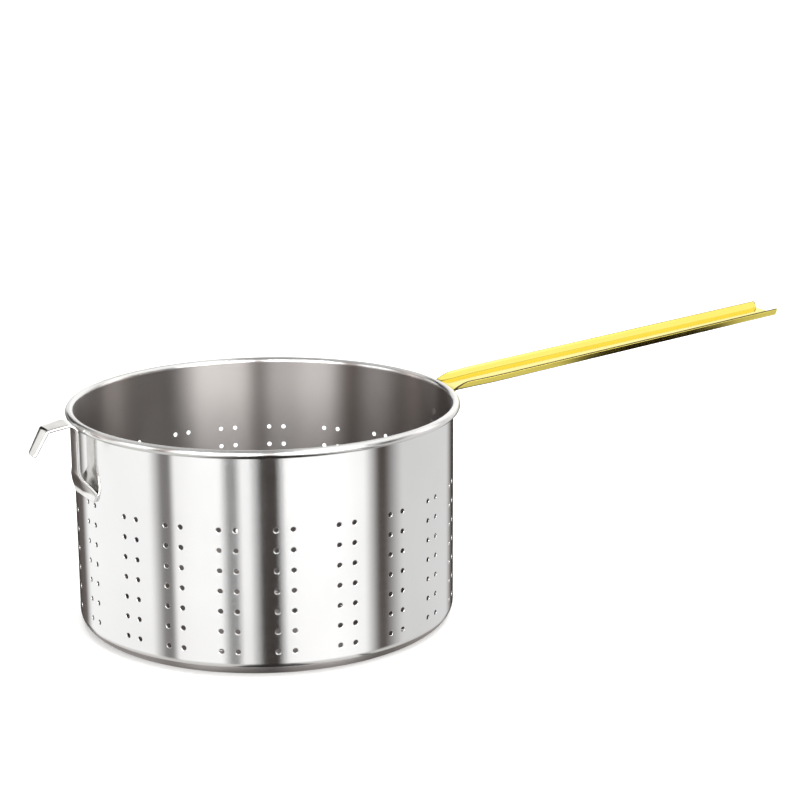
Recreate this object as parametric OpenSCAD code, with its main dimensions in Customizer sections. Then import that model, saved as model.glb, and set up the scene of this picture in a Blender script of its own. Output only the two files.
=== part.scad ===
// Strainer basket that hangs in a pot of boiling water: a drawn steel basket with drain
// holes and a rolled rim, a long handle on one side and a rest hook on the other.
// The origin is at the middle of the underside. +Z is up and the handle points along +X.

/* [Basket] */
// Outside width of the straight wall
basket_d = 240; // [220:5:300]
// Height from the underside to the top of the rim
basket_h = 140; // [130:1:180]
// Thickness of the drawn sheet
sheet_t = 0.8; // [0.6:0.1:1.2]
// Outside radius of the turn from wall to base
corner_r = 9; // [6:0.5:12]
// Outside width of the rolled bead at the rim
bead_d = 5.2; // [4.4:0.2:6]
// Gap left between the curled edge and the wall
curl_gap = 0.4; // [0.3:0.1:0.8]

/* [Drain holes] */
// Width of each hole
hole_d = 3; // [2:0.1:4]
// Pairs of hole columns round the wall
wall_pairs = 21; // [12:1:24]
// Distance between the two columns of a pair
pair_gap = 10; // [7:0.5:14]
// Rows of holes in each column, as far as they stay below the handle and the hook
wall_rows = 7; // [2:1:8]
// Distance between two rows
row_pitch = 12.5; // [8:0.5:14]
// Height of the lowest row
first_row_z = 16; // [15:0.5:20]
// Rings of holes in the base, as far as they stay on its flat
base_rings = 6; // [2:1:7]
// Distance between two rings
base_pitch = 16; // [10:0.5:18]
// Holes that each ring has more than the ring inside it
ring_step = 6; // [4:1:8]

/* [Long handle] */
// Length of the handle from its bend at the wall to its free end
handle_l = 260; // [200:5:320]
// Thickness of the handle's sheet
handle_t = 1.4; // [1:0.1:2]
// Upward slope of the handle
handle_rise = 6.5; // [3:0.5:12]
// Width of the foot that is welded to the wall
handle_foot_w = 30; // [24:1:34]
// Widest width, a little way out from the rim
handle_belly_w = 34; // [28:1:40]
// Width at the free end
handle_end_w = 30; // [20:1:40]
// Height that the two edges turn up
lip_h = 4.4; // [2:0.1:5]
// Width of each turned-up edge
lip_w = 3.5; // [3:0.5:6]
// Radius of the bend between foot and handle, at mid-thickness
handle_bend_r = 12; // [10:0.5:12]
// Depth of the handle's bend below the top of the rim
handle_drop = 5.5; // [5:0.5:8]
// Depth of the foot's lower end below the top of the rim
handle_foot_drop = 36; // [34:1:42]

/* [Rest hook] */
// Angle from the handle round to the hook, counter-clockwise from above
hook_angle = 184; // [170:0.5:190]
// Width of the strip
hook_w = 14.5; // [11:0.5:20]
// Thickness of the strip
hook_t = 2; // [1.5:0.1:3]
// Width of the foot that is welded to the wall
hook_foot_w = 36; // [28:1:40]
// Height of the foot's shoulders, where it narrows to the strip
hook_foot_h = 17; // [16:0.5:20]
// Depth of the foot's lower end below the top of the rim
hook_foot_drop = 46.5; // [42:0.5:46.5]
// Reach of the arch, from the upright strip to the fold
arch_reach = 19; // [14:0.5:30]
// Fall of the arch over that reach
arch_fall = 3.4; // [1:0.2:6]
// Height of the arch above the top of the rim, where it leaves the upright strip
arch_lift = 2.3; // [1.5:0.1:6]
// Reach of the turned-down tip beyond the fold
tip_reach = 8.5; // [4:0.5:14]
// Drop of the tip below the fold
tip_drop = 15.5; // [8:0.5:24]
// Width of the tip at its end
tip_w = 11; // [8:0.5:16]
// Radius of the arch's bend, at mid-thickness
arch_bend_r = 6; // [5:0.5:7]
// Radius of the fold, at mid-thickness
fold_r = 2; // [1.6:0.1:4]

/* [Spot welds] */
// Width of each weld nugget
weld_d = 4.5; // [3:0.5:5]
// Distance between the two lower nuggets of a foot
weld_gap = 8; // [6:0.5:10]
// Distance from the lower nuggets up to the top one
weld_rise = 8; // [6:0.5:9]
// Share of the foot's thickness that a nugget reaches into
weld_bite = 0.6; // [0.3:0.1:0.8]
// Height that a nugget stands proud inside the basket
weld_stand = 0.2; // [0.1:0.05:0.4]

/* [Hidden] */

// Clearance between the rim's bead and the hook's upright strip
rim_gap = 0.3;
// Least metal between a drain hole and what is above or beside it
hole_margin = 1;
// Height of the lower handle welds above the foot's end
handle_weld_z = 7;
// Height of the lower hook welds above the foot's end
hook_weld_z = 4;
// Height of the hook's foot that lies against the wall, and of the step out to the rim
foot_flat = 4.5;
foot_step = 10;
// Radius of the two bends in that step
step_bend_r = 8;
// Height of the hook's foot up to its widest place, and how far its sides flare on the way
foot_wide_z = 6.5;
foot_side = 2;
// Corner radii in outline: the hook's foot and tip, the handle's foot and its free end
hook_foot_corner = 4;
shoulder_corner = 6;
tip_corner = 3;
handle_foot_corner = 8;
handle_end_corner = 3;
// Gap between the wall and the handle's foot, which is rolled to it
seat_gap = 0.02;
// Distance from the rim out to the handle's widest place, to where its edges start to
// rise, and over which they rise
belly_run = 37;
lip_start = 1;
lip_run = 4;
// Angle of the first pair of hole columns, and how far pairs stand off even spacing
first_pair = 187.5;
pair_nudge = [0, 2.5, 0.5, -0.5, -1.5, -0.5, -0.5, -0.5, 0, 0, 0, -3, -5, -3.5, -2, -3, -4, -2];

wall_r = basket_d / 2;
bead_r = bead_d / 2;
// The bead's tube rolls outwards from the wall's inner face
bead_x = wall_r - sheet_t + bead_r;
bead_z = basket_h - bead_r;
rim_r = bead_x + bead_r;
handle_low = basket_h - handle_foot_drop;
hook_low = basket_h - hook_foot_drop;
row_top = min(handle_low, hook_low) - hole_margin - hole_d / 2;
rows = min(wall_rows, 1 + floor((row_top - first_row_z) / row_pitch));
flat_r = wall_r - corner_r - hole_margin - hole_d / 2;
rings = min(base_rings, floor(flat_r / base_pitch));

// Sides of the large turned shapes, of small round ones, and steps along each bend
turn_fn = 180;
hole_fn = 24;
bend_steps = 10;
big = 1000;

function unit(v) = v / norm(v);
function quarter_turn(v) = [-v[1], v[0]];
function smooth(u) = let (c = max(0, min(1, u))) c * c * (3 - 2 * c);
function half_turn(a) = a > 180 ? a - 360 : a < -180 ? a + 360 : a;

// A corner at b between runs from a and to c, rounded to the radius r
function bend(a, b, c, r) =
    let (u = unit(a - b), v = unit(c - b))
    let (half = acos(u * v) / 2)
    let (centre = b + unit(u + v) * r / sin(half))
    let (p = b + u * r / tan(half) - centre, q = b + v * r / tan(half) - centre)
    let (from = atan2(p[1], p[0]))
    let (sweep = half_turn(atan2(q[1], q[0]) - from))
    [for (k = [0 : bend_steps]) let (g = from + sweep * k / bend_steps) centre + r * [cos(g), sin(g)]];

// Middle line of a bent strip, from its corners and the radius of each inner corner
function bent_line(corners, radii) = [
    corners[0],
    for (i = [1 : len(corners) - 2]) each bend(corners[i - 1], corners[i], corners[i + 1], radii[i - 1]),
    corners[len(corners) - 1]
];

// Direction of a line at its point i
function heading(line, i) = unit(line[min(i + 1, len(line) - 1)] - line[max(i - 1, 0)]);

// Outline of a strip of thickness t along a line
function strip_outline(line, t) = let (last = len(line) - 1) [
    for (i = [0 : last]) line[i] + quarter_turn(heading(line, i)) * t / 2,
    for (i = [last : -1 : 0]) line[i] - quarter_turn(heading(line, i)) * t / 2
];

// Outline and its mirror image about the first axis
function both_sides(half) = concat(half, [for (i = [len(half) - 1 : -1 : 0]) [-half[i][0], half[i][1]]]);

// Outline standing on the YZ plane, pushed along X from x0 to x1
module push_x(x0, x1) {
    translate([x0, 0, 0])
        rotate([90, 0, 90])
            linear_extrude(x1 - x0) children();
}

// Places of a foot's nuggets in Y and Z: a low pair each, and one more above the handle's pair
function weld_pair(z) = [[-weld_gap / 2, z], [weld_gap / 2, z]];

handle_welds = concat(weld_pair(handle_low + handle_weld_z), [[0, handle_low + handle_weld_z + weld_rise]]);
hook_welds = weld_pair(hook_low + hook_weld_z);

// Nuggets from inside the wall into a foot of thickness t
module nuggets(places, t) {
    for (p = places)
        translate([wall_r - sheet_t - weld_stand, p[0], p[1]])
            rotate([0, 90, 0])
                cylinder(d = weld_d, h = sheet_t + weld_stand + t * weld_bite, $fn = hole_fn);
}

// Half of the basket's section, turned about the axis
module shell_section() {
    square([wall_r - corner_r, sheet_t]);
    intersection() {
        difference() {
            translate([wall_r - corner_r, corner_r]) circle(r = corner_r, $fn = turn_fn);
            translate([wall_r - corner_r, corner_r]) circle(r = corner_r - sheet_t, $fn = turn_fn);
        }
        translate([wall_r - corner_r, 0]) square(corner_r);
    }
    translate([wall_r - sheet_t, corner_r]) square([sheet_t, bead_z - corner_r]);
    difference() {
        translate([bead_x, bead_z]) circle(r = bead_r, $fn = hole_fn * 2);
        translate([bead_x, bead_z]) circle(r = bead_r - sheet_t, $fn = hole_fn * 2);
        translate([wall_r - bead_d, bead_z - bead_d]) square([bead_d + curl_gap, bead_d]);
    }
}

function pair_angle(k) = first_pair + 360 * k / wall_pairs + (k < len(pair_nudge) ? pair_nudge[k] : 0);

module wall_holes() {
    half_angle = asin(pair_gap / basket_d);
    for (k = [0 : wall_pairs - 1])
        for (side = [-1, 1])
            for (row = [0 : rows - 1])
                rotate([0, 0, pair_angle(k) + side * half_angle])
                    translate([wall_r - 2 * sheet_t, 0, first_row_z + row * row_pitch])
                        rotate([0, 90, 0])
                            cylinder(d = hole_d, h = 3 * sheet_t, $fn = hole_fn);
}

module base_holes() {
    for (ring = [1 : rings])
        for (k = [0 : ring * ring_step - 1])
            rotate([0, 0, 360 * k / (ring * ring_step)])
                translate([ring * base_pitch, 0, -sheet_t])
                    cylinder(d = hole_d, h = 3 * sheet_t, $fn = hole_fn);
}

module basket() {
    color("silver")
        difference() {
            rotate_extrude($fn = turn_fn) shell_section();
            wall_holes();
            base_holes();
            nuggets(handle_welds, handle_t);
            rotate([0, 0, hook_angle]) nuggets(hook_welds, hook_t);
        }
}

// The handle's middle line in X and Z: up the wall, round the bend and out
handle_x = wall_r + seat_gap + handle_t / 2;
handle_top = [handle_x, basket_h - handle_drop];
handle_line = bent_line(
    [[handle_x, handle_low], handle_top, handle_top + handle_l * [cos(handle_rise), sin(handle_rise)]],
    [handle_bend_r]);

// The line's points, with more of them where the outline rounds or tapers
taper_steps = 8;
corner_steps = 4;
handle_start = handle_line[0];
handle_last = handle_line[len(handle_line) - 1];
bend_end = handle_line[len(handle_line) - 2];
foot_stations = [for (k = [0 : corner_steps]) let (g = 90 * k / corner_steps)
    handle_start + [0, handle_foot_corner * (1 - cos(g))]];
bend_stations = [for (i = [1 : len(handle_line) - 2]) handle_line[i]];
run_stations = [for (k = [1 : taper_steps - 1]) bend_end + (handle_last - bend_end) * k / taper_steps];
end_stations = [for (k = [corner_steps : -1 : 0]) let (g = 90 * k / corner_steps)
    handle_last - unit(handle_last - bend_end) * handle_end_corner * (1 - cos(g))];
handle_path = concat(foot_stations, bend_stations, run_stations, end_stations);

// How far a corner of radius r draws an edge in, at the distance d from the end
function corner_cut(d, r) = d >= r ? 0 : r - sqrt(r * r - (r - d) * (r - d));

function handle_width(p) =
    let (out = (p[0] - rim_r) / belly_run)
    let (far = (p[0] - rim_r - belly_run) / (handle_last[0] - rim_r - belly_run))
    let (w = handle_foot_w + (handle_belly_w - handle_foot_w) * smooth(out)
             + (handle_end_w - handle_belly_w) * max(0, far))
    w - handle_t - 2 * corner_cut(p[1] - handle_start[1], handle_foot_corner)
      - 2 * corner_cut(norm(p - handle_last), handle_end_corner);

// Half section: a flat web and an edge that rises as a parabola, with the height and
// the slope of the middle line at each step out from the centre
web_steps = 5;
lip_steps = 5;
function half_section(w, lip) = [
    for (k = [0 : web_steps - 1]) [(w / 2 - lip_w) * (2 * k + 1) / (2 * web_steps + 1), 0, 0],
    for (k = [0 : lip_steps]) let (u = k / lip_steps)
        [w / 2 - lip_w * (1 - u), lip * u * u, 2 * lip * u / lip_w]
];

// How far the wall falls back from its front at the distance y to the side
function wall_fall(y) = wall_r - sqrt(wall_r * wall_r - y * y);

// Closed ring of points round the section at the path's station i
function handle_ring(i) =
    let (p = handle_path[i], along = heading(handle_path, i))
    let (up = quarter_turn(along))
    let (lip = lip_h * smooth((p[0] - rim_r - lip_start) / lip_run))
    let (half = half_section(handle_width(p), lip), last = len(half) - 1)
    let (hug = smooth((along[1] - sin(handle_rise)) / (1 - sin(handle_rise))))
    let (skin = [
        for (side = [1, -1]) for (k = [0 : 2 * last + 1])
            let (q = half[k <= last ? last - k : k - last - 1], s = k <= last ? side : -side)
            let (lean = side * handle_t / 2 / sqrt(1 + q[2] * q[2]))
            [s * (q[0] - lean * q[2]), q[1] + lean]
    ])
    [for (m = skin) [p[0] + up[0] * m[1] - hug * wall_fall(m[0]), m[0], p[1] + up[1] * m[1]]];

module long_handle() {
    rings_list = [for (i = [0 : len(handle_path) - 1]) handle_ring(i)];
    n = len(rings_list[0]);
    last = len(rings_list) - 1;
    sides = [for (i = [0 : last - 1]) for (k = [0 : n - 1]) let (m = (k + 1) % n)
        [i * n + k, i * n + m, (i + 1) * n + m, (i + 1) * n + k]];
    first_cap = [for (k = [0 : n / 2 - 2]) [k + 1, k, n - 1 - k, n - 2 - k]];
    last_cap = [for (f = first_cap) [for (k = [3 : -1 : 0]) f[k] + last * n]];
    color("gold")
        difference() {
            polyhedron(points = [for (r = rings_list) each r], faces = concat(sides, first_cap, last_cap));
            nuggets(handle_welds, handle_t);
        }
}

// The hook's middle line: foot, step out past the rim, upright, arch, fold and tip
hook_seat_x = wall_r + hook_t / 2;
hook_strip_x = rim_r + rim_gap + hook_t / 2;
arch_root = [hook_strip_x, basket_h + arch_lift];
fold = arch_root + [arch_reach, -arch_fall];
hook_line = bent_line(
    [[hook_seat_x, hook_low],
     [hook_seat_x, hook_low + foot_flat],
     [hook_strip_x, hook_low + foot_flat + foot_step],
     arch_root,
     fold,
     fold + [tip_reach, -tip_drop]],
    [step_bend_r, step_bend_r, arch_bend_r, fold_r]);

// Outline of the hook seen along X: the foot, its shoulders and the strip
hook_front = both_sides(concat(
    bend([-hook_foot_w / 2, hook_low], [hook_foot_w / 2 - foot_side, hook_low],
         [hook_foot_w / 2, hook_low + foot_wide_z], hook_foot_corner),
    bend([hook_foot_w / 2 - foot_side, hook_low], [hook_foot_w / 2, hook_low + foot_wide_z],
         [hook_w / 2, hook_low + hook_foot_h], hook_foot_corner),
    bend([hook_foot_w / 2, hook_low + foot_wide_z], [hook_w / 2, hook_low + hook_foot_h],
         [hook_w / 2, big], shoulder_corner),
    [[hook_w / 2, big]]));

// Outline of the hook seen from above, as distance to the side and out from the axis
tip_end = fold + [tip_reach, -tip_drop];
hook_plan = both_sides(concat(
    [[hook_foot_w, 0], [hook_foot_w, fold[0]], [hook_w / 2, fold[0]]],
    bend([hook_w / 2, fold[0]], [tip_w / 2, tip_end[0] + hook_t], [0, tip_end[0] + hook_t], tip_corner)));

module rest_hook() {
    color("gainsboro")
        rotate([0, 0, hook_angle])
            difference() {
                intersection() {
                    translate([0, hook_foot_w / 2, 0])
                        rotate([90, 0, 0])
                            linear_extrude(hook_foot_w) polygon(strip_outline(hook_line, hook_t));
                    push_x(wall_r / 2, big) polygon(hook_front);
                    rotate([0, 0, -90]) linear_extrude(big) polygon(hook_plan);
                }
                nuggets(hook_welds, hook_t);
            }
}

module handle_spot_welds() {
    color("dimgray") nuggets(handle_welds, handle_t);
}

module hook_spot_welds() {
    color("dimgray") rotate([0, 0, hook_angle]) nuggets(hook_welds, hook_t);
}

basket();
long_handle();
rest_hook();
handle_spot_welds();
hook_spot_welds();
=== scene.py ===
import bpy
import numpy as np
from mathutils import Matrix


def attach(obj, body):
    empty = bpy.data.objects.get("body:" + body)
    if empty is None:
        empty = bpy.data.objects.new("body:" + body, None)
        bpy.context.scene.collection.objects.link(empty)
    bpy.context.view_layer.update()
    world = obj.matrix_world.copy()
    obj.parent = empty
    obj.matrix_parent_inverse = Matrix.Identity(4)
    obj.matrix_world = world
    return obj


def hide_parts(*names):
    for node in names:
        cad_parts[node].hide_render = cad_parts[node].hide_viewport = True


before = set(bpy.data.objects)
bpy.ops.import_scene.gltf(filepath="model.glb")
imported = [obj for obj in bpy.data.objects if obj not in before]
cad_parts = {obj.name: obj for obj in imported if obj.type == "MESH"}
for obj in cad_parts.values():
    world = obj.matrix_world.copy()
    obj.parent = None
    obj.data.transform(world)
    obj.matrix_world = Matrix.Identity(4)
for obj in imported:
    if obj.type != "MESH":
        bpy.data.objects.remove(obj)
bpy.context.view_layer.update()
print("frame loaded:", sorted(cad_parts))

mm = 0.001
cellsPerMetre, cellShift = 1e5, 0.123  # ten-micron cells, with no round number on their sides


def meldPoints(points, normals, marks, faces):
    # points of one cell, the place times the cells per metre rounded down, become one; a
    # quad that loses one side to this becomes a triangle, and one that loses more goes
    cells = np.floor(points * cellsPerMetre + cellShift).astype(np.int64)
    _, first, back = np.unique(cells, axis=0, return_index=True, return_inverse=True)
    back = back.ravel()
    kept = []
    for f in (back[f] for f in faces):
        lost = f == np.roll(f, -1, axis=1)
        kept.append(f[~lost.any(axis=1)])
        if f.shape[1] == 4:
            single = lost.sum(axis=1) == 1
            rest = (lost[single].argmax(axis=1)[:, None] + 1 + np.arange(3)) % 4
            triangles = np.take_along_axis(f[single], rest, 1)
            kept.append(triangles[triangles[:, 0] != triangles[:, 2]])
    return points[first], normals[first], marks[first], kept


def makePiece(name, points, faces, normals, marks, material):
    # faces is a list of index arrays, of four or three columns, all anticlockwise from
    # outside; a face starts where the sides of all faces before it, added up, end; marks,
    # between zero and one, tell the material where a cut edge is
    mesh = bpy.data.meshes.new(name)
    corners = np.concatenate([f.ravel() for f in faces]).astype(np.int32)
    counts = np.concatenate([np.full(len(f), f.shape[1]) for f in faces])
    starts = np.concatenate([[0], np.cumsum(counts)[:-1]]).astype(np.int32)
    mesh.vertices.add(len(points))
    mesh.vertices.foreach_set("co", points.astype(np.float32).ravel())
    mesh.loops.add(len(corners))
    mesh.loops.foreach_set("vertex_index", corners)
    mesh.polygons.add(len(counts))
    mesh.polygons.foreach_set("loop_start", starts)
    mesh.update(calc_edges=True)
    # the marks carry where the handle's edges are painted near-black as shade
    if marks.any():
        cut = mesh.attributes.new("cut", "FLOAT", "POINT")
        cut.data.foreach_set("value", marks.astype(np.float32))
    mesh.validate()
    mesh.polygons.foreach_set("use_smooth", np.ones(len(mesh.polygons), bool))
    mesh.normals_split_custom_set_from_vertices(normals.astype(np.float32))
    mesh.materials.append(material)
    piece = bpy.data.objects.new(name, mesh)
    bpy.context.scene.collection.objects.link(piece)
    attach(piece, "root")
    return piece


def gridFaces(rows, columns, wrap=False, flip=False):
    # quads of a grid whose point (i, j) has the index i * columns + j
    across = np.arange(columns if wrap else columns - 1)
    i, j = np.meshgrid(np.arange(rows - 1), across, indexing="ij")
    k = (j + 1) % columns
    here, there = i * columns, (i + 1) * columns
    quads = np.stack([here + j, here + k, there + k, there + j], -1).reshape(-1, 4)
    return quads[:, ::-1] if flip else quads


class Shape:
    # gathers grids of points with their normals until they are melded into one mesh
    def __init__(self):
        self.points, self.normals, self.marks, self.faces, self.count = [], [], [], [], 0

    def add(self, points, normals, faces, marks=0.0):
        # an index in the whole is the grid's own index plus the points before the grid
        self.points.append(points.reshape(-1, 3))
        self.normals.append(normals.reshape(-1, 3))
        self.marks.append(np.broadcast_to(marks, points.shape[:-1]).ravel())
        self.faces += [f + self.count for f in faces]
        self.count += points.size // 3

    def piece(self, name, material):
        # all grids end to end, melded and put into a mesh
        whole = [np.concatenate(part) for part in (self.points, self.normals, self.marks)]
        points, normals, marks, faces = meldPoints(*whole, self.faces)
        return makePiece(name, points, faces, normals, marks, material)


def feed(tree, slot, value):
    # a socket is linked to the slot, and anything else becomes the slot's own value
    if isinstance(value, bpy.types.NodeSocket):
        tree.links.new(value, slot)
    else:
        slot.default_value = value


def newNode(tree, kind, inputs=(), **settings):
    # a node with its settings, and what goes into its inputs by their names or numbers
    node = tree.nodes.new("ShaderNode" + kind)
    for name, value in settings.items():
        setattr(node, name, value)
    for slot, value in dict(inputs).items():
        feed(tree, node.inputs[slot], value)
    return node


def maths(tree, operation, *values):
    # one operation on one or two values
    return newNode(tree, "Math", dict(enumerate(values)), operation=operation).outputs["Value"]


def mapRange(tree, value, low, high, newLow=0.0, newHigh=1.0, kind="LINEAR"):
    # low to high carried over to new low to new high, and held there beyond them
    inputs = {"Value": value, "From Min": low, "From Max": high, "To Min": newLow, "To Max": newHigh}
    return newNode(tree, "MapRange", inputs, interpolation_type=kind).outputs["Result"]


def mixNumbers(tree, factor, first, second):
    # the first times one less the factor, plus the second times the factor
    return newNode(tree, "Mix", {0: factor, 2: first, 3: second}).outputs[0]


def blendColour(tree, factor, first, second):
    # the same for colours, each a socket or three numbers
    mix = newNode(tree, "Mix", {0: factor}, data_type="RGBA")
    slots = [s for s in mix.inputs if s.type == "RGBA"]
    for slot, value in zip(slots, (first, second)):
        feed(tree, slot, value if isinstance(value, bpy.types.NodeSocket) else (*value, 1))
    return next(s for s in mix.outputs if s.type == "RGBA")


noiseRange = (0.3, 0.7)  # noise seldom leaves it


def streakNoise(tree, scale, stretch, detail):
    # noise at the scale times the place on the object times the stretch of each axis, so it
    # is drawn out along the axes with a small stretch
    place = newNode(tree, "TexCoord").outputs["Object"]
    drawn = newNode(tree, "Mapping", {"Vector": place, "Scale": stretch}).outputs["Vector"]
    return newNode(tree, "TexNoise", {"Vector": drawn, "Scale": scale, "Detail": detail}).outputs["Fac"]


def mixColours(tree, noise, first, second):
    # the first colour where the noise is low, the second where it is high, even between
    ramp = newNode(tree, "ValToRGB", {"Fac": noise})
    for stop, position, colour in zip(ramp.color_ramp.elements, noiseRange, (first, second)):
        stop.position, stop.color = position, (*colour, 1)
    return ramp.outputs["Color"]


def newMaterial(name, metallic):
    # a material, its nodes and its shader: one for metal, zero for anything else
    material = bpy.data.materials.new(name)
    material.use_nodes = True
    tree = material.node_tree
    shader = next(n for n in tree.nodes if n.type == "BSDF_PRINCIPLED")
    shader.inputs["Metallic"].default_value = metallic
    return material, tree, shader


def dress(tree, shader, tone, rough, height, depth):
    # colour and roughness, and the normal tipped by the slope of the height times the depth
    bump = newNode(tree, "Bump", {"Height": height, "Distance": depth, "Strength": 1.0})
    feed(tree, shader.inputs["Base Color"], tone)
    feed(tree, shader.inputs["Roughness"], rough)
    feed(tree, shader.inputs["Normal"], bump.outputs["Normal"])


basketFinish = {
    "light": (0.86, 0.858, 0.852), "dark": (0.81, 0.806, 0.80), "rough": (0.12, 0.14),
    # the inside's two colours are painted shade: the same steel drawn darker
    "shadedInsideLight": (0.365, 0.345, 0.335), "shadedInsideDark": (0.33, 0.305, 0.295),
    "insideRough": (0.34, 0.38), "rimRough": (0.20, 0.24),
    "lines": (1, (12, 12, 1500), 3), "clouds": (14, (1, 1, 1), 4),
    "brushed": 1.0, "brushTurn": 0.25, "brushDepth": 0.0000015,
    "innerFace": 0.1196, "faceBlur": 0.0001, "rimFrom": 0.1368, "rimBlur": 0.0006,
}


def basketSteel():
    # satin sheet, spun: fine lines run round the wall and spread its gloss up and down; the
    # inside, told by the root of x squared plus y squared, is coarser and painted darker as
    # shade, and the bead, told by z, keeps the outside's colour with no painted shade
    f = basketFinish
    material, tree, shader = newMaterial("basketSteel", 1)
    around = newNode(tree, "Tangent", direction_type="RADIAL", axis="Z").outputs["Tangent"]
    for name, value in (("Anisotropic", f["brushed"]), ("Anisotropic Rotation", f["brushTurn"]),
                        ("Tangent", around)):
        feed(tree, shader.inputs[name], value)
    lines, clouds = streakNoise(tree, *f["lines"]), streakNoise(tree, *f["clouds"])
    place = newNode(tree, "TexCoord").outputs["Object"]
    flat = newNode(tree, "VectorMath", {0: place, 1: (1, 1, 0)}, operation="MULTIPLY").outputs[0]
    size = newNode(tree, "VectorMath", {0: flat}, operation="LENGTH").outputs["Value"]
    height = newNode(tree, "SeparateXYZ", {"Vector": place}).outputs["Z"]
    outer = mapRange(tree, size, f["innerFace"] - f["faceBlur"], f["innerFace"] + f["faceBlur"])
    rim = mapRange(tree, height, f["rimFrom"], f["rimFrom"] + f["rimBlur"])
    bright = mixColours(tree, clouds, f["dark"], f["light"])
    # dim is the inside's painted shade; the outside and the bead keep the steel's own colour
    dim = mixColours(tree, clouds, f["shadedInsideDark"], f["shadedInsideLight"])
    tone = blendColour(tree, maths(tree, "MAXIMUM", outer, rim), dim, bright)
    outside, inside, polished = (mapRange(tree, lines, *noiseRange, *f[name])
                                 for name in ("rough", "insideRough", "rimRough"))
    rough = mixNumbers(tree, rim, mixNumbers(tree, outer, inside, outside), polished)
    dress(tree, shader, tone, rough, lines, f["brushDepth"])
    return material


hookFinish = {
    "light": (0.88, 0.875, 0.86), "dark": (0.80, 0.79, 0.77), "rough": (0.05, 0.12),
    "waves": (120, (1, 1, 1), 1), "lines": (1, (900, 900, 60), 2), "waveDepth": 0.00002,
}


def hookSteel():
    # polished strip with a faint hand-bent waviness and fine polishing lines along it
    f = hookFinish
    material, tree, shader = newMaterial("hookSteel", 1)
    waves, lines = streakNoise(tree, *f["waves"]), streakNoise(tree, *f["lines"])
    tone = mixColours(tree, waves, f["dark"], f["light"])
    dress(tree, shader, tone, mapRange(tree, lines, *noiseRange, *f["rough"]), waves, f["waveDepth"])
    return material


handleFinish = {
    # cut is the near-black painted shade on the sheet's edges
    "light": (0.93, 0.79, 0.18), "dark": (0.91, 0.765, 0.16), "cut": (0.04, 0.03, 0.014),
    "rough": (0.06, 0.1), "lines": (1, (25, 1600, 1600), 3), "clouds": (22, (1, 1, 1), 4),
    "edgeShadeRange": (0.3, 0.7), "grainDepth": 0.000002,
}


def handleBrass():
    # bright yellow brass, rolled lengthwise; the sheet's cut edges are bare, and their near-black
    # colour is painted shade
    f = handleFinish
    material, tree, shader = newMaterial("handleBrass", 1)
    lines, clouds = streakNoise(tree, *f["lines"]), streakNoise(tree, *f["clouds"])
    brass = mixColours(tree, clouds, f["dark"], f["light"])
    # the marked edges get the painted shade
    cut = newNode(tree, "Attribute", attribute_name="cut").outputs["Fac"]
    tone = blendColour(tree, mapRange(tree, cut, *f["edgeShadeRange"]), brass, f["cut"])
    dress(tree, shader, tone, mapRange(tree, lines, *noiseRange, *f["rough"]), lines, f["grainDepth"])
    return material


weldFinish = {
    "light": (0.62, 0.60, 0.57), "dark": (0.36, 0.34, 0.32), "rough": (0.28, 0.45),
    "pits": (900, (1, 1, 1), 3), "pitDepth": 0.00004,
}


def weldSteel():
    # pressed nuggets, duller and browner than the sheet round them
    f = weldFinish
    material, tree, shader = newMaterial("weldSteel", 1)
    pits = streakNoise(tree, *f["pits"])
    tone = mixColours(tree, pits, f["dark"], f["light"])
    dress(tree, shader, tone, mapRange(tree, pits, *noiseRange, *f["rough"]), pits, f["pitDepth"])
    return material


basket = {
    "wallR": 120.0, "height": 140.0, "sheet": 0.8, "cornerR": 9.0,
    "beadR": 2.6, "curlGap": 0.4,
    "holeR": 1.5, "edgeR": 0.32, "lipTurns": (0.9, 1.1),
    "pairs": 21, "pairGap": 10.0, "rows": 7, "rowPitch": 12.5, "firstRow": 16.0,
    "firstPair": 187.5,
    "pairNudge": [0, 2.5, 0.5, -0.5, -1.5, -0.5, -0.5, -0.5, 0, 0, 0, -3, -5, -3.5, -2, -3, -4, -2],
    "rings": 6, "ringPitch": 16.0, "ringStep": 6,
    "cellHalf": 3.6, "ringCellHalf": 7.0, "wallSides": 3, "baseSides": 3, "gapSteps": 6,
    "wallStops": (0, 0.02, 0.5, 0.98), "hollowSteps": 12, "beadSteps": 30,
    "insideSteps": 10, "outsideSteps": 12,
}


def aroundHole(sides):
    # a unit square's edge and a unit circle, point for point, anticlockwise from the lower right
    t = np.arange(sides) / sides * 2 - 1
    one = np.ones(sides)
    turn = np.radians(-45 + 90 * np.arange(4 * sides) / sides)
    square = np.stack([np.concatenate([one, -t, -one, t]), np.concatenate([t, one, -t, -one])])
    return square, np.stack([np.cos(turn), np.sin(turn)])


def holeRings(b):
    # the skin's way into a hole and out of the other face: how far from square to circle, the
    # circle's radius, the depth below the first face, and the normal's turn in quarter turns
    hole, edge, sheet, (first, last) = b["holeR"], b["edgeR"], b["sheet"], b["lipTurns"]
    rings = np.array([(0, hole + edge, 0, 0), (1, hole + edge, 0, 0), (1, hole, edge, first),
                      (1, hole, sheet - edge, last), (1, hole + edge, sheet, 2),
                      (0, hole + edge, sheet, 2)])
    return rings.T[..., None]


def turned(angle, radius, height):
    # radius times cosine, radius times sine, height
    return np.stack([radius * np.cos(angle), radius * np.sin(angle), height + 0 * angle], -1)


def zipLoops(outer, inner):
    # triangles between two circles of points at the given angles, outer one first:
    # whichever side has the nearer next point moves on
    n, m = len(outer), len(inner)
    nextOuter = np.append(outer[1:], outer[0] + 2 * np.pi)
    nextInner = np.append(inner[1:], inner[0] + 2 * np.pi)
    i, j = np.arange(n), np.arange(m)
    atInner = np.searchsorted(nextInner, nextOuter, side="left")
    atOuter = np.searchsorted(nextOuter, nextInner, side="right")
    first = np.stack([i, (i + 1) % n, n + atInner % m], -1)
    second = np.stack([atOuter % n, n + (j + 1) % m, n + j], -1)
    return np.concatenate([first, second])


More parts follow.
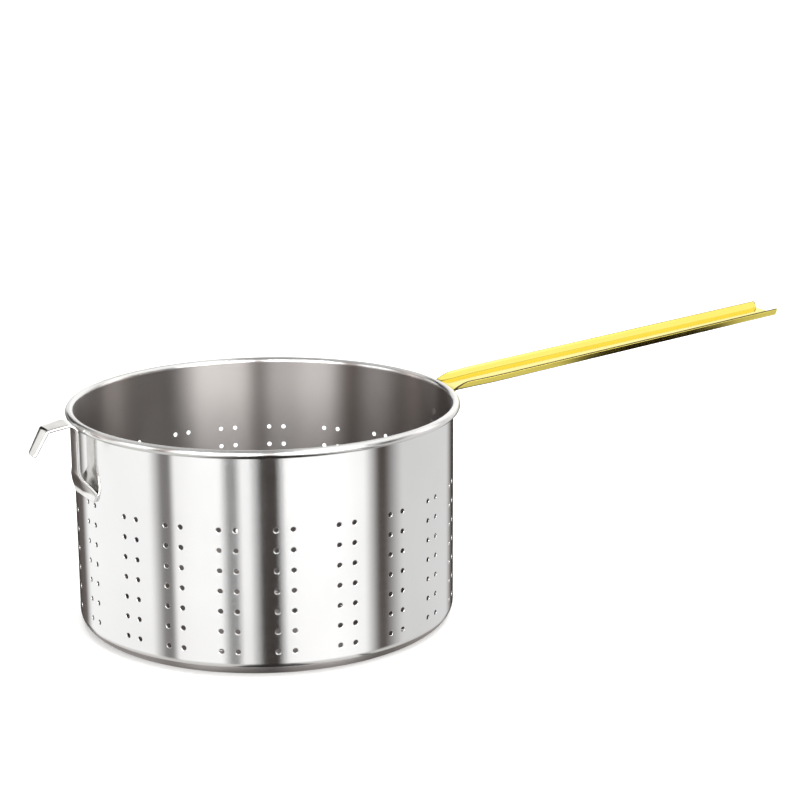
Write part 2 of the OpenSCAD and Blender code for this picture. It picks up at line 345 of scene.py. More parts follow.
def wallCells(shape, b):
    # each hole's patch bends with the wall, its angle being the distance across over the
    # radius: the square's edge runs over to the hole's circle, through the sheet and back
    # to a square on the inner face
    square, circle = aroundHole(b["wallSides"])
    nudges = np.zeros(b["pairs"])
    nudges[:min(len(b["pairNudge"]), b["pairs"])] = b["pairNudge"][:b["pairs"]]
    pairs = np.radians(b["firstPair"] + 360 * np.arange(b["pairs"]) / b["pairs"] + nudges)
    half = np.arcsin(b["pairGap"] / 2 / b["wallR"])
    columns = np.sort(np.concatenate([pairs - half, pairs + half]) % (2 * np.pi))
    rows = b["firstRow"] + b["rowPitch"] * np.arange(b["rows"])
    blend, r, depth, roll = holeRings(b)
    across = (1 - blend) * square[0] * b["cellHalf"] + blend * circle[0] * r
    up = (1 - blend) * square[1] * b["rowPitch"] / 2 + blend * circle[1] * r
    quads = gridFaces(len(r), len(square[0]), wrap=True)
    for c in columns:
        for z in rows:
            angle = c + across / b["wallR"]
            points = turned(angle, b["wallR"] - depth, z + up)
            out = turned(angle, 1, 0)
            side = np.stack([-np.sin(angle), np.cos(angle), 0 * angle], -1)
            outward = circle[0][:, None] * side + circle[1][:, None] * np.array([0, 0, 1.0])
            turn = (np.pi / 2 * roll)[..., None]
            shape.add(points * mm, np.cos(turn) * out - np.sin(turn) * outward, [quads])
    return columns


def wallStrips(shape, b, columns):
    # plain wall between the columns of holes, in even steps of angle and height that meet
    # the patches point for point; gives back all the angles that points stand at
    cell = b["cellHalf"] / b["wallR"]
    sides = b["wallSides"]
    level = np.arange(b["rows"] * sides + 1) / sides
    heights = b["firstRow"] - b["rowPitch"] / 2 + b["rowPitch"] * level
    angles = []
    for k, c in enumerate(columns):
        follow = columns[(k + 1) % len(columns)] + (2 * np.pi if k == len(columns) - 1 else 0)
        gap = follow - c - 2 * cell
        steps = 1 if gap * b["wallR"] < b["pairGap"] else b["gapSteps"]
        strip = c + cell + gap * np.arange(steps + 1) / steps
        angles += [c + cell * (2 * np.arange(sides) / sides - 1), strip[:-1]]
        for radius, flip in ((b["wallR"], False), (b["wallR"] - b["sheet"], True)):
            a, z = np.meshgrid(strip, heights)
            out = turned(a, 1, 0)
            shape.add(turned(a, radius, z) * mm, -out if flip else out,
                      [gridFaces(len(heights), len(strip), flip=flip)])
    return np.concatenate(angles)


def turnProfile(shape, profile, angles):
    # a section of (radius, height, normal out, normal up) carried round the axis
    r, z, nr, nz = (profile[:, k][:, None] for k in range(4))
    a = angles[None, :]
    quads = gridFaces(len(profile), len(angles), wrap=True)
    shape.add(turned(a, r, z) * mm, turned(a, nr, nz), [quads])


def arcProfile(centre, radius, start, end, steps, side=1):
    # the centre plus the radius times (cosine, sine), with (cosine, sine) times the side as
    # its normal
    a = np.radians(np.linspace(start, end, steps + 1))
    return np.stack([centre[0] + radius * np.cos(a), centre[1] + radius * np.sin(a),
                     side * np.cos(a), side * np.sin(a)], -1)


def rimProfile(b):
    # up the outer face, round the inside of the bead to the curl's edge, back over the
    # outside of the bead and down the inner face; the curl ends where the radius times the
    # cosine reaches the gap
    top = b["firstRow"] + b["rowPitch"] * (b["rows"] - 0.5)
    inner = b["wallR"] - b["sheet"]
    beadX, beadZ = inner + b["beadR"], b["height"] - b["beadR"]
    small = b["beadR"] - b["sheet"]
    cut = b["wallR"] + b["curlGap"] - beadX
    cutSmall, cutLarge = np.degrees(np.arccos([cut / small, cut / b["beadR"]]))
    rise = np.array(b["wallStops"])
    up = np.stack([0 * rise + b["wallR"], top + rise * (beadZ - top), 0 * rise + 1, 0 * rise], -1)
    down = np.stack([0 * rise + inner, beadZ - rise * (beadZ - top), 0 * rise - 1, 0 * rise], -1)
    last = np.array([[inner, top, -1, 0]])
    hollow = arcProfile((beadX, beadZ), small, 180, -cutSmall, b["hollowSteps"], -1)
    bead = arcProfile((beadX, beadZ), b["beadR"], -cutLarge, 180, b["beadSteps"])
    return np.concatenate([up, hollow, bead, down[1:], last])


def cornerProfiles(b):
    # the turn at the base, a quarter circle for each face, with the wall's last step
    low = b["firstRow"] - b["rowPitch"] / 2
    centre = (b["wallR"] - b["cornerR"], b["cornerR"])
    inner = b["wallR"] - b["sheet"]
    inside = arcProfile(centre, b["cornerR"] - b["sheet"], 0, -90, b["insideSteps"], -1)
    outside = arcProfile(centre, b["cornerR"], -90, 0, b["outsideSteps"])
    return (np.concatenate([[[inner, low, -1, 0]], inside]),
            np.concatenate([outside, [[b["wallR"], low, 1, 0]]]))


def baseSheet(shape, b, angles):
    # rings of patches with a hole in each, the square's edge bent to the ring's radius and
    # angle, and plain bands zipped between them
    square, circle = aroundHole(b["baseSides"])
    blend, r, depth, roll = holeRings(b)
    n, sides = len(square[0]), b["baseSides"]
    quads = gridFaces(len(r), n, wrap=True)
    loops = [(b["wallR"] - b["cornerR"], np.sort(angles % (2 * np.pi)))]
    for ring in range(b["rings"], 0, -1):
        cells = ring * b["ringStep"]
        mid = ring * b["ringPitch"]
        half = np.pi / cells
        for c in 2 * np.pi * np.arange(cells) / cells:
            out, side = np.array([np.cos(c), np.sin(c)]), np.array([-np.sin(c), np.cos(c)])
            rho, turn = mid + square[0] * b["ringCellHalf"], c + square[1] * half
            edge = np.stack([rho * np.cos(turn), rho * np.sin(turn)], -1)
            spokes = circle[0][:, None] * out + circle[1][:, None] * side
            hole = mid * out + r[..., None] * spokes
            flat = (1 - blend[..., None]) * edge + blend[..., None] * hole
            points = np.concatenate([flat, (b["sheet"] - depth + 0 * flat[..., 0])[..., None]], -1)
            inward = np.concatenate([-spokes, np.zeros((n, 1))], -1)[None]
            swing = (np.pi / 2 * roll)[..., None]
            normals = np.cos(swing) * np.array([0, 0, 1.0]) + np.sin(swing) * inward
            shape.add(points * mm, normals, [quads])
        count = cells * sides
        seam = np.sort((2 * np.pi * np.arange(count) / count + half) % (2 * np.pi))
        loops += [(mid + b["ringCellHalf"], seam), (mid - b["ringCellHalf"], seam)]
    for (outerR, outer), (innerR, inner) in zip(loops[::2], loops[1::2]):
        triangles = zipLoops(outer, inner)
        for z, up in ((b["sheet"], 1.0), (0.0, -1.0)):
            points = np.concatenate([turned(outer, outerR, z), turned(inner, innerR, z)])
            normals = np.tile([0, 0, up], (len(points), 1))
            shape.add(points * mm, normals, [triangles if up > 0 else triangles[:, ::-1]])
    middleR, middle = loops[-1]
    n = len(middle)
    fan = np.stack([np.arange(n), (np.arange(n) + 1) % n, np.full(n, n)], -1)
    for z, up in ((b["sheet"], 1.0), (0.0, -1.0)):
        points = np.concatenate([turned(middle, middleR, z), [[0, 0, z]]])
        shape.add(points * mm, np.tile([0, 0, up], (n + 1, 1)), [fan if up > 0 else fan[:, ::-1]])


def buildBasket(material):
    # wall, rim, turn and base in one sheet, all on the same angles round the axis
    shape = Shape()
    angles = wallStrips(shape, basket, wallCells(shape, basket))
    for profile in (rimProfile(basket), *cornerProfiles(basket)):
        turnProfile(shape, profile, angles)
    baseSheet(shape, basket, angles)
    piece = shape.piece("basket_sheet", material)
    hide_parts("basket")
    print("basket:", len(piece.data.polygons), "faces")


def unitRows(v):
    # each row over its own length
    return v / np.linalg.norm(v, axis=-1, keepdims=True)


def swingRows(turn):
    # what rows of (x, y, z) are multiplied by to turn about the axis: x cosine less y sine,
    # x sine plus y cosine
    c, s = np.cos(turn), np.sin(turn)
    return np.array([[c, s, 0], [-s, c, 0], [0, 0, 1]])


def bendPoints(a, b, c, radius, steps):
    # the corner at b between runs from a and to c, rounded to the radius; its centre lies
    # the radius over the sine of half the corner's angle away from b
    u, v = unitRows(a - b), unitRows(c - b)
    half = np.arccos(np.clip(u @ v, -1, 1)) / 2
    centre = b + unitRows(u + v) * radius / np.sin(half)
    p, q = b + u * radius / np.tan(half) - centre, b + v * radius / np.tan(half) - centre
    start = np.arctan2(p[1], p[0])
    sweep = (np.arctan2(q[1], q[0]) - start + np.pi) % (2 * np.pi) - np.pi
    t = start + sweep * np.linspace(0, 1, steps + 1)
    return centre + radius * np.stack([np.cos(t), np.sin(t)], -1)


def bentPath(corners, radii, steps, runStep):
    # straight runs cut into short even steps, with the rounded corners between them
    corners = [np.array(c, float) for c in corners]
    parts, here = [], corners[0]
    for k, radius in enumerate(radii, 1):
        arc = bendPoints(corners[k - 1], corners[k], corners[k + 1], radius, steps)
        count = max(1, int(np.ceil(np.linalg.norm(arc[0] - here) / runStep)))
        parts += [here + (arc[0] - here) * np.linspace(0, 1, count + 1)[:-1, None], arc[:-1]]
        here = arc[-1]
    count = max(1, int(np.ceil(np.linalg.norm(corners[-1] - here) / runStep)))
    parts.append(here + (corners[-1] - here) * np.linspace(0, 1, count + 1)[:, None])
    return np.concatenate(parts)


def pathFrames(path):
    # direction along a path in a plane, and the normal a quarter turn to its left
    step = np.gradient(path, axis=0)
    step[0], step[-1] = path[1] - path[0], path[-1] - path[-2]
    along = unitRows(step)
    return along, np.stack([-along[:, 1], along[:, 0]], -1)


def smooth(u):
    # zero to one with flat ends: three u squared less two u cubed
    c = np.clip(u, 0, 1)
    return c * c * (3 - 2 * c)


def cornerCut(distance, radius):
    # how far a rounded corner draws an edge in: r less the root of r squared less the
    # square of what is left of the corner
    left = np.clip(radius - distance, 0, radius)
    return radius - np.sqrt(radius ** 2 - left ** 2)


def endSteps(*corners, count=9):
    # distances from an end, close together where its corners turn: r times one less cosine
    turn = np.linspace(0, np.pi / 2, count)
    return np.unique(np.round(np.concatenate([r * (1 - np.cos(turn)) for r in corners]), 4))


def stationed(path, first, last, gap=0.3):
    # the path with its two ends cut anew at the given distances from each end; of its other
    # stations, those more than the gap beyond them stay
    a, b = unitRows(path[1] - path[0]), unitRows(path[-2] - path[-1])
    fromA, fromB = np.linalg.norm(path - path[0], axis=1), np.linalg.norm(path - path[-1], axis=1)
    middle = (fromA > first[-1] + gap) & (fromB > last[-1] + gap)
    path = np.concatenate([path[0] + first[:, None] * a, path[middle], path[-1] + last[::-1, None] * b])
    return path, np.linalg.norm(path - path[0], axis=1), np.linalg.norm(path - path[-1], axis=1)


def bentStrip(shape, path, middle, thick, edge, nearEnd, hug=0, wallR=1e5, turn=0.0, edgeSteps=8):
    # the middle line (y, z, slope) of each station's section, offset by half the thickness
    # along its normal to both sides and closed by a half ellipse at each edge; towards the
    # ends the half thickness shrinks as the same ellipse, so both ends close by themselves
    along, up = pathFrames(path)
    y, z, slope = middle
    lean = 1 / np.sqrt(1 + slope ** 2)
    ny, nz = -slope * lean, lean
    t = np.linspace(0, np.pi, edgeSteps + 1)[1:-1]
    flat, deep = np.cos(t), np.sin(t)
    ends = np.clip(nearEnd / edge, 0, 1)[:, None]
    half = thick / 2 * np.sqrt(1 - (1 - ends) ** 2)

    def roundEdge(k, side):
        # half the thickness times cosine along the normal, the edge times sine outwards
        a, b = (flat, deep) if side > 0 else (flat[::-1], deep[::-1])
        oy, oz = ny[:, k, None], nz[:, k, None]
        ty, tz = side * oz, -side * oy
        na, nb = a / thick * 2, b / edge
        size = np.hypot(na, nb)
        return (y[:, k, None] + half * a * oy + edge * b * ty,
                z[:, k, None] + half * a * oz + edge * b * tz,
                (na * oy + nb * ty) / size, (na * oz + nb * tz) / size)

    above = (y + half * ny, z + half * nz, ny, nz)
    below = tuple(v[:, ::-1] for v in (y - half * ny, z - half * nz, -ny, -nz))
    ringY, ringZ, ringNy, ringNz = (np.concatenate(parts, 1) for parts in
                                    zip(above, roundEdge(-1, 1), below, roundEdge(0, -1)))
    hug = np.broadcast_to(np.reshape(hug, (-1, 1)), (len(path), 1))
    fall = hug * (wallR - np.sqrt(wallR ** 2 - ringY ** 2))
    x = path[:, :1] + up[:, :1] * ringZ - fall
    points = np.stack([x, ringY, path[:, 1:] + up[:, 1:] * ringZ], -1)
    facing = (1 - ends) * np.where(np.arange(len(path)) < len(path) // 2, -1, 1)[:, None]
    level = np.sqrt(1 - facing ** 2)
    nx = up[:, :1] * ringNz * level + along[:, :1] * facing
    nUp = up[:, 1:] * ringNz * level + along[:, 1:] * facing
    nSide = ringNy * level + hug * ringY / wallR * nx
    normals = unitRows(np.stack([nx, nSide, nUp], -1))
    clear = ends > 0.9  # the marks stop short of the rounded ends
    # the marks are where the handle's brass is painted near-black as shade
    marks = np.concatenate([0 * y[0], deep, 0 * y[0], deep])[None] * clear
    swing = swingRows(turn)
    shape.add(points @ swing * mm, normals @ swing,
              [gridFaces(*points.shape[:2], wrap=True, flip=True)], marks)


handle = {
    "wallR": 120.0, "rimR": 124.4, "seatGap": 0.02, "sheet": 1.4, "length": 260.0, "rise": 6.5,
    "top": 134.5, "foot": 104.0, "bendR": 12.0,
    "footW": 30.0, "bellyW": 34.0, "endW": 30.0, "bellyRun": 37.0,
    "lipH": 4.0, "lipW": 3.4, "lipStart": -2.0, "lipRun": 16.0,
    "footCorner": 8.0, "endCorner": 1.0, "edgeR": 0.7,
    "webSteps": 8, "lipSteps": 10, "bendSteps": 24, "runStep": 3.0,
}


def buildHandle(material):
    # a trough along a path up the wall, round the bend and out: its section is a flat web
    # whose height at the edges rises as u squared times the lip
    h = handle
    x = h["wallR"] + h["seatGap"] + h["sheet"] / 2
    rise = np.radians(h["rise"])
    top = np.array([x, h["top"]])
    end = top + h["length"] * np.array([np.cos(rise), np.sin(rise)])
    path = bentPath([(x, h["foot"]), top, end], [h["bendR"]], h["bendSteps"], h["runStep"])
    path, fromFoot, fromEnd = stationed(path, endSteps(h["edgeR"], h["footCorner"]),
                                        endSteps(h["edgeR"], h["endCorner"]))
    out = (path[:, 0] - h["rimR"]) / h["bellyRun"]
    far = (path[:, 0] - h["rimR"] - h["bellyRun"]) / (end[0] - h["rimR"] - h["bellyRun"])
    width = h["footW"] + (h["bellyW"] - h["footW"]) * smooth(out)
    width += (h["endW"] - h["bellyW"]) * np.maximum(0, far)
    width -= 2 * cornerCut(fromFoot, h["footCorner"]) + 2 * cornerCut(fromEnd, h["endCorner"])
    lip = h["lipH"] * smooth((path[:, :1] - h["rimR"] - h["lipStart"]) / h["lipRun"])
    steep = pathFrames(path)[0][:, 1]
    hug = smooth((steep - np.sin(rise)) / (1 - np.sin(rise)))
    web = (np.arange(h["webSteps"]) * 2 + 1) / (2 * h["webSteps"] + 1)
    u = np.linspace(0, 1, h["lipSteps"] + 1)
    w = width[:, None] / 2 - h["edgeR"]
    inner = w - h["lipW"]
    y = np.concatenate([inner * web, inner + h["lipW"] * u], 1)
    z = np.concatenate([0 * inner * web, lip * u * u], 1)
    slope = np.concatenate([0 * inner * web, 2 * lip * u / h["lipW"]], 1)
    middle = [np.concatenate([side * v[:, ::-1], v], 1) for v, side in ((y, -1), (z, 1), (slope, -1))]
    shape = Shape()
    bentStrip(shape, path, middle, h["sheet"], h["edgeR"], np.minimum(fromFoot, fromEnd),
              hug, h["wallR"])
    piece = shape.piece("trough_handle", material)
    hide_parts("long_handle")
    print("handle:", len(piece.data.polygons), "faces")


hook = {
    "wallR": 120.0, "angle": 184.0, "thick": 2.0, "edge": 0.75, "low": 93.5,
    "footFlat": 4.5, "stepX": 125.7, "stepZ": 108.0, "archZ": 142.3,
    "foldX": 144.7, "foldZ": 138.9, "tipX": 153.2, "tipZ": 123.4,
    "bends": (8.0, 8.0, 6.0, 2.0), "bendSteps": 14, "runStep": 2.5, "lowRun": 2.0, "lowStep": 0.4,
    "footHalf": 16.0, "earHalf": 18.0, "earZ": 6.5, "footCorner": 4.0,
    "shoulderZ": 17.0, "shoulderR": 6.0, "stripHalf": 7.25, "tipHalf": 5.5, "tipCorner": 3.0,
    "outlineSteps": 16, "outlineRun": 4.0, "across": 17,
    "footCrown": 100.0, "stripCrown": 260.0, "tipCrown": 66.0, "tipInset": 1.0,
    "twist": 4.3, "clear": 0.2,
}


def buildHook(material):
    # a strip along its bent path; its half width follows the foot's outline by height, and
    # past the fold it narrows in a straight line to the tip
    k = hook
    x, low = k["wallR"] + k["thick"] / 2, k["low"]
    path = bentPath([(x, low), (x, low + k["footFlat"]), (k["stepX"], k["stepZ"]),
                     (k["stepX"], k["archZ"]), (k["foldX"], k["foldZ"]), (k["tipX"], k["tipZ"])],
                    k["bends"], k["bendSteps"], k["runStep"])
    lowSteps = np.arange(0, k["lowRun"], k["lowStep"])
    path, fromFoot, fromTip = stationed(path, np.union1d(endSteps(k["edge"]), lowSteps),
                                        endSteps(k["edge"], k["tipCorner"]))
    outline = bentPath([(0, low), (k["footHalf"], low), (k["earHalf"], low + k["earZ"]),
                        (k["stripHalf"], low + k["shoulderZ"]), (k["stripHalf"], k["archZ"])],
                       [k["footCorner"], k["footCorner"], k["shoulderR"]],
                       k["outlineSteps"], k["outlineRun"])
    outline = outline[np.argmax(outline[:, 1] > low + 0.001) - 1:]  # without its level bottom
    half = np.interp(path[:, 1], outline[:, 1], outline[:, 0])
    beyond = (path[:, 0] - k["foldX"]) / (k["tipX"] + k["thick"] - k["foldX"])
    narrowed = k["stripHalf"] + (k["tipHalf"] - k["stripHalf"]) * np.clip(beyond, 0, 1)
    half = np.where(path[:, 0] > k["foldX"], narrowed, half) - cornerCut(fromTip, k["tipCorner"])
    s = np.linspace(-1, 1, k["across"])[None, :]
    y = (half[:, None] - k["edge"]) * s
    # half of the foot follows the wall and the strip and tip are slightly crowned, y squared
    # over twice the crown's radius; the strip is also turned a little about its own line
    above = smooth((fromFoot - k["footFlat"]) / k["shoulderZ"])[:, None]
    tip = smooth((path[:, :1] - k["stepX"] - k["tipInset"])
                 / (k["foldX"] - k["stepX"] - 2 * k["tipInset"]))
    crown = (1 - tip) / k["stripCrown"] - tip / k["tipCrown"]
    bow = (1 - above) * (y > 0) / k["footCrown"] + above * crown
    lean = np.tan(np.radians(k["twist"])) * above * (1 - tip)
    sunk = above * ((1 - tip) * k["clear"] + bow * k["stripHalf"] ** 2 / 4)
    shape = Shape()
    bentStrip(shape, path, (y, y * y * bow / 2 - lean * y - sunk, y * bow - lean), k["thick"],
              k["edge"], np.minimum(fromFoot, fromTip), turn=np.radians(k["angle"]))
    piece = shape.piece("hook_strip", material)
    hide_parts("rest_hook")
    print("hook:", len(piece.data.polygons), "faces")


nuggets = {
    "inside": 119.0, "wallR": 120.0, "bite": 0.6, "radius": 2.25, "gap": 8.0, "rise": 8.0,
    "edge": 0.14, "dimple": 0.12, "sides": 40, "rimSteps": 4, "dishSteps": 6, "endLean": 0.7,
    "handleZ": 111.0, "hookZ": 97.5,
}


def weldPair(z):
    # two places at one height, half the gap to either side
    return [(-nuggets["gap"] / 2, z), (nuggets["gap"] / 2, z)]


def buildNuggets(name, places, thick, angle, node, material):
    # each nugget is turned about its own axis: a rounded rim that stands proud of the wall,
    # a shallow dish r squared deep in its face, a straight side and a flat hidden end
    n = nuggets
    r, rim, lean = n["radius"], n["edge"], n["endLean"]
    quarter = np.linspace(0, np.pi / 2, n["rimSteps"] + 1)
    dish = np.linspace(0, r - rim, n["dishSteps"] + 1)
    face = np.stack([n["inside"] + n["dimple"] * (1 - (dish / (r - rim)) ** 2), dish], -1)
    bead = np.stack([n["inside"] + rim * (1 - np.cos(quarter)), r - rim + rim * np.sin(quarter)], -1)
    end = n["wallR"] + n["bite"] * thick
    profile = np.concatenate([face, bead[1:], [[end, r]], [[end, 0]]])
    slope = -2 * n["dimple"] * dish / (r - rim) ** 2
    nx = np.concatenate([0 * dish - 1, -np.cos(quarter[1:]), [lean, 1]])[:, None]
    nr = np.concatenate([slope, np.sin(quarter[1:]), [lean, 0]])[:, None]
    t = 2 * np.pi * np.arange(n["sides"]) / n["sides"]
    normals = unitRows(np.stack([nx + 0 * t, nr * np.cos(t), nr * np.sin(t)], -1))
    swing = swingRows(angle)
    shape = Shape()
    for y, z in places:
        x, reach = profile[:, :1] + 0 * t, profile[:, 1:]
        points = np.stack([x, y + reach * np.cos(t), z + reach * np.sin(t)], -1)
        shape.add(points @ swing * mm, normals @ swing, [gridFaces(len(profile), len(t), wrap=True)])
    piece = shape.piece(name, material)
    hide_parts(node)
    print(name + ":", len(piece.data.polygons), "faces")


cameraStand = {
    "place": (-0.4314, -1.1539, 0.4445), "down": 13.951, "heading": 65.487, "roll": -0.234,
    "lens": 90.0, "sensor": 36.0, "farthest": 100.0,
}


def makeCamera():
    # an upright frame turned by the heading, tipped down and rolled about the line of sight
    c = cameraStand
    down, heading, roll = np.radians([c["down"], c["heading"], c["roll"]])
    forward = np.array([np.cos(heading) * np.cos(down), np.sin(heading) * np.cos(down), -np.sin(down)])
    right = np.array([np.sin(heading), -np.cos(heading), 0])
    up = np.cross(right, forward)
    stand = np.eye(4)
    stand[:3, 0] = right * np.cos(roll) + up * np.sin(roll)
    stand[:3, 1] = up * np.cos(roll) - right * np.sin(roll)
    stand[:3, 2] = -forward
    stand[:3, 3] = c["place"]
    data = bpy.data.cameras.new("camera")
    data.lens, data.sensor_width, data.clip_end = c["lens"], c["sensor"], c["farthest"]
    camera = bpy.data.objects.new("camera", data)
    bpy.context.scene.collection.objects.link(camera)
    camera.matrix_world = stand.T.tolist()
    bpy.context.scene.camera = camera


floorDisc = {"radius": 12.0, "sides": 96, "colour": (0.80, 0.80, 0.795), "rough": 0.6, "glow": 0.22}


def makeFloor():
    # a wide plain disc under the object: the radius times (cosine, sine) of an even turn
    f = floorDisc
    n = f["sides"]
    rim = turned(2 * np.pi * np.arange(n) / n, f["radius"], 0)
    fan = np.stack([np.arange(n), (np.arange(n) + 1) % n, np.full(n, n)], -1)
    mesh = bpy.data.meshes.new("floor")
    mesh.from_pydata([*rim.tolist(), [0, 0, 0]], [], fan.tolist())
    material, tree, shader = newMaterial("paleFloor", 0)
    for name, value in (("Base Color", (*f["colour"], 1)), ("Roughness", f["rough"]),
                        ("Emission Color", (1, 1, 1, 1)), ("Emission Strength", f["glow"])):
        feed(tree, shader.inputs[name], value)
    mesh.materials.append(material)
    floor = bpy.data.objects.new("floor", mesh)
    bpy.context.scene.collection.objects.link(floor)
    floor.visible_glossy = False


# Angles go round from the camera's side of the object, heights up from level, both in degrees.
# An edge is where the change begins and where it is complete.
surroundings = {
    "facing": 110.5, "mirror": 0.8, "backColour": (0.93, 0.93, 0.925),
    # upright screens: first angle, last angle, and the brightness that steel shows, of 255;
    # light runs evenly from each one to the next
    "screens": ((-180, -167.5, 45), (-154, -144.5, 85), (-135.5, -73, 240), (-64, -58.5, 110),
                (-55.5, -27.5, 240), (-22, -18.5, 120), (-14, -10, 235), (-2.5, 6, 40),
                (12, 60.5, 245), (71, 75.5, 60), (89, 143.5, 205), (156.5, 180, 55)),
    # the same above level, for the inside of the wall
    "upperScreens": ((-180, -124, 5), (-108.5, -104.5, 70), (-99.5, -99, 40), (-81.5, -69.5, 130),
                     (-60.5, -55, 65), (-42, -26, 225), (-19, -5.5, 200), (2.5, 4, 95),
                     (13, 43, 245), (59.5, 86, 10), (104, 116.5, 105), (125, 180, 30)),
    "upperEdge": (2, 7), "upperGain": 9.0,
    "warmFrom": 120, "warmOver": 60, "warmTint": (0.20, -0.06, -0.15),
    "ground": (0.70, 0.69, 0.67), "groundDark": (0.02, 0.016, 0.014), "groundEdge": (-24, -33),
    "lane": -0.05, "laneEdge": (0.34, 0.50),
    "barEdges": ((0.448, 0.458), (0.528, 0.516)), "barSides": ((0.22, 0.32), (0.76, 0.71)),
    "barColour": (0.012, 0.008, 0.006),
    "highLeft": (0.36, 0.36, 0.355), "highRight": (1.15, 1.15, 1.13), "highTurn": (28, 42),
    "frontEdge": (22, 34), "lowerAngles": ((42, 52), (100, 88)), "lowerHeights": ((14, 22),),
    "ceiling": (1.18, 1.18, 1.16), "ceilingLeft": (0.90, 0.90, 0.885), "ceilingTurn": (-0.15, 0.06),
    "ceilingEdge": (-8, 4), "backEdge": (60, 76), "sideEdge": (105, 150),
    "overhead": (0.36, 0.355, 0.35), "overheadEdge": (76, 84),
    "hoodAngles": ((152, 168),), "hoodHeights": ((26, 34),),
    "post": (0.03, 0.025, 0.022), "postAngles": ((-161, -157), (-135, -139)),
    "postHeights": ((-1, 4), (36, 30)),
    "glow": (1.0, 1.0, 0.98), "glowAngles": ((-138, -135), (-118, -124)),
    "glowHeights": ((-5, 0), (18, 12)),
}


def span(tree, value, middle):
    # distance of a value from a middle one, to either side
    return maths(tree, "ABSOLUTE", maths(tree, "SUBTRACT", value, middle))


def mask(tree, parts):
    # one inside a region and nothing outside it: for each value and each of its edges a
    # smooth step, all multiplied together
    steps = [mapRange(tree, value, *edge, kind="SMOOTHSTEP")
             for value, edges in parts for edge in edges]
    whole = steps[0]
    for step in steps[1:]:
        whole = maths(tree, "MULTIPLY", whole, step)
    return whole


def screenRamp(tree, turn, screens, gain=1.0):
    # brightness to light, ((v / 255 + 0.055) / 1.055) to the power 2.4 over what the steel
    # mirrors; the darker a screen the browner it is
    s = surroundings
    ramp = newNode(tree, "ValToRGB", {"Fac": turn})
    stops = ramp.color_ramp.elements
    ends = [(degrees, value) for first, last, value in screens for degrees in (first, last)]
    for k, (degrees, value) in enumerate(ends):
        stop = stops[k] if k < 2 else stops.new(1.0)
        light = ((value / 255 + 0.055) / 1.055) ** 2.4 / s["mirror"] * gain
        warm = np.clip((s["warmFrom"] - value) / s["warmOver"], 0, 1)
        stop.position = (degrees + 180) / 360
        stop.color = (*(light * (1 + warm * np.array(s["warmTint"]))), 1)
    return ramp.outputs["Color"]


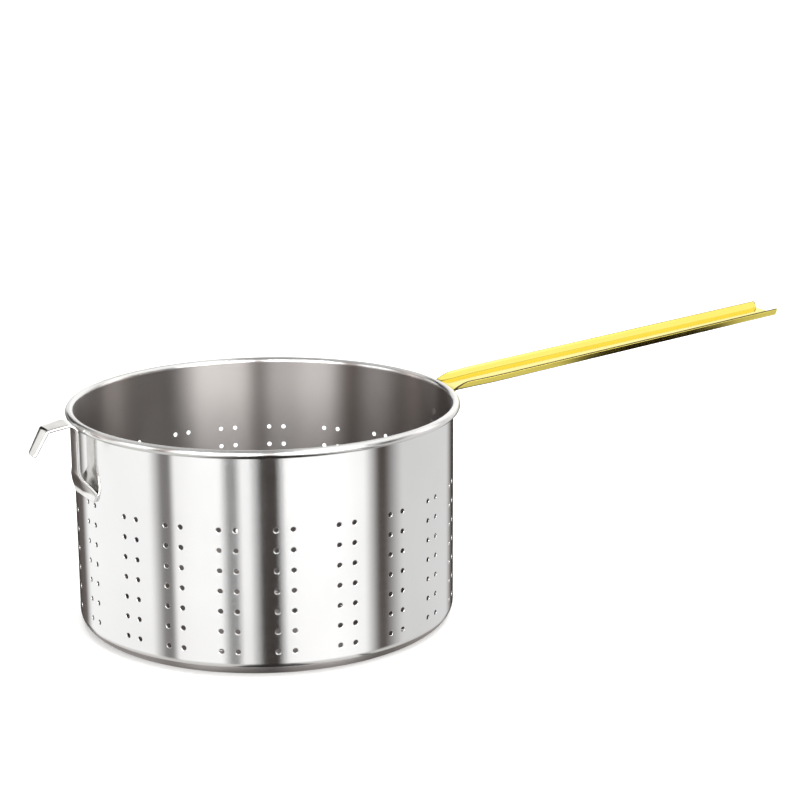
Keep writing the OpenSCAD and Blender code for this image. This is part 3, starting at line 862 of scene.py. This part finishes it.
def makeSurroundings():
    # a ray's angle is the arc tangent of y over x, once turned to the camera's side, and its
    # height the arc sine of z; regions told by the two are laid one over another
    s = surroundings
    world = bpy.data.worlds.new("studio")
    bpy.context.scene.world = world
    world.use_nodes = True
    tree = world.node_tree
    tree.nodes.clear()
    ray = newNode(tree, "TexCoord").outputs["Generated"]
    facing = (0, 0, np.radians(s["facing"]))
    swung = newNode(tree, "Mapping", {"Vector": ray, "Rotation": facing}).outputs["Vector"]
    axes = newNode(tree, "SeparateXYZ", {"Vector": swung}).outputs
    angle = maths(tree, "ARCTAN2", axes["Y"], axes["X"])
    height = maths(tree, "ARCSINE", axes["Z"])
    aside = span(tree, angle, 0)

    def region(first, second, *parts):
        # the second colour inside the region of those values and edges, the first outside
        return blendColour(tree, mask(tree, parts), first, second)

    def edges(name):
        # named edges, degrees made radians
        return np.radians(s[name])

    def past(value, name, first, second):
        # the second colour past the edge of that name
        return region(first, second, (value, [edges(name)]))

    turn = mapRange(tree, angle, -np.pi, np.pi)
    bands = screenRamp(tree, turn, s["screens"])
    upper = screenRamp(tree, turn, s["upperScreens"], s["upperGain"])
    # the ground is dark in a lane that runs from the camera to the object, y over z being
    # near one value, and in a bar across the line of the handle, at nearly one angle to it
    lane = span(tree, maths(tree, "DIVIDE", axes["Y"], axes["Z"]), s["lane"])
    ground = region(s["groundDark"], s["ground"], (lane, [s["laneEdge"]]))
    rise = np.radians(handle["rise"])
    line = (np.cos(rise), 0, np.sin(rise))
    along = newNode(tree, "VectorMath", {0: ray, 1: line}, operation="DOT_PRODUCT").outputs["Value"]
    ground = region(ground, s["barColour"], (along, s["barEdges"]), (axes["Y"], s["barSides"]))
    low = past(height, "groundEdge", bands, ground)
    # on the camera's side the upper screens reach up to the high part, which is dim on the
    # left and bright on the right, where it comes down lower in one place
    above = past(height, "upperEdge", low, upper)
    high = past(angle, "highTurn", s["highLeft"], s["highRight"])
    front = past(height, "frontEdge", above, high)
    front = region(front, high, (angle, edges("lowerAngles")), (height, edges("lowerHeights")))
    # behind the object a bright ceiling comes down low, under a dim hood, and overhead it is
    # as dim all round
    ceiling = region(s["ceilingLeft"], s["ceiling"], (axes["Y"], [s["ceilingTurn"]]))
    back = past(height, "ceilingEdge", low, ceiling)
    back = past(height, "backEdge", back, high)
    back = region(back, s["overhead"], (height, edges("hoodHeights")), (aside, edges("hoodAngles")))
    whole = past(aside, "sideEdge", front, back)
    whole = past(height, "overheadEdge", whole, s["overhead"])
    # a dark upright post to the left, behind the hook, and a bright patch beside it
    for name in ("post", "glow"):
        whole = region(whole, s[name], (angle, edges(name + "Angles")),
                       (height, edges(name + "Heights")))
    lit = newNode(tree, "Background", {"Color": whole}).outputs[0]
    seen = newNode(tree, "Background", {"Color": (*s["backColour"], 1)}).outputs[0]
    ahead = newNode(tree, "LightPath").outputs["Is Camera Ray"]
    mix = newNode(tree, "MixShader", {0: ahead, 1: lit, 2: seen}).outputs[0]
    newNode(tree, "OutputWorld", {"Surface": mix})


softLamp = {"place": (0.3, 0.2, 2.6), "size": 2.4, "power": 75.0}


def makeLamp():
    # a round lamp overhead that lights the floor and leaves no glint on the steel
    data = bpy.data.lights.new("softLamp", "AREA")
    data.shape, data.size, data.energy = "DISK", softLamp["size"], softLamp["power"]
    lamp = bpy.data.objects.new("softLamp", data)
    lamp.location = softLamp["place"]
    lamp.visible_glossy = False
    bpy.context.scene.collection.objects.link(lamp)


buildBasket(basketSteel())
buildHandle(handleBrass())
buildHook(hookSteel())
welds = weldSteel()
thirdWeld = (0, nuggets["handleZ"] + nuggets["rise"])
buildNuggets("handle_nuggets", weldPair(nuggets["handleZ"]) + [thirdWeld], handle["sheet"], 0.0,
             "handle_spot_welds", welds)
buildNuggets("hook_nuggets", weldPair(nuggets["hookZ"]), hook["thick"], np.radians(hook["angle"]),
             "hook_spot_welds", welds)
makeCamera()
makeFloor()
makeSurroundings()
makeLamp()
bpy.context.scene.view_settings.view_transform = "Standard"
print("scene made")
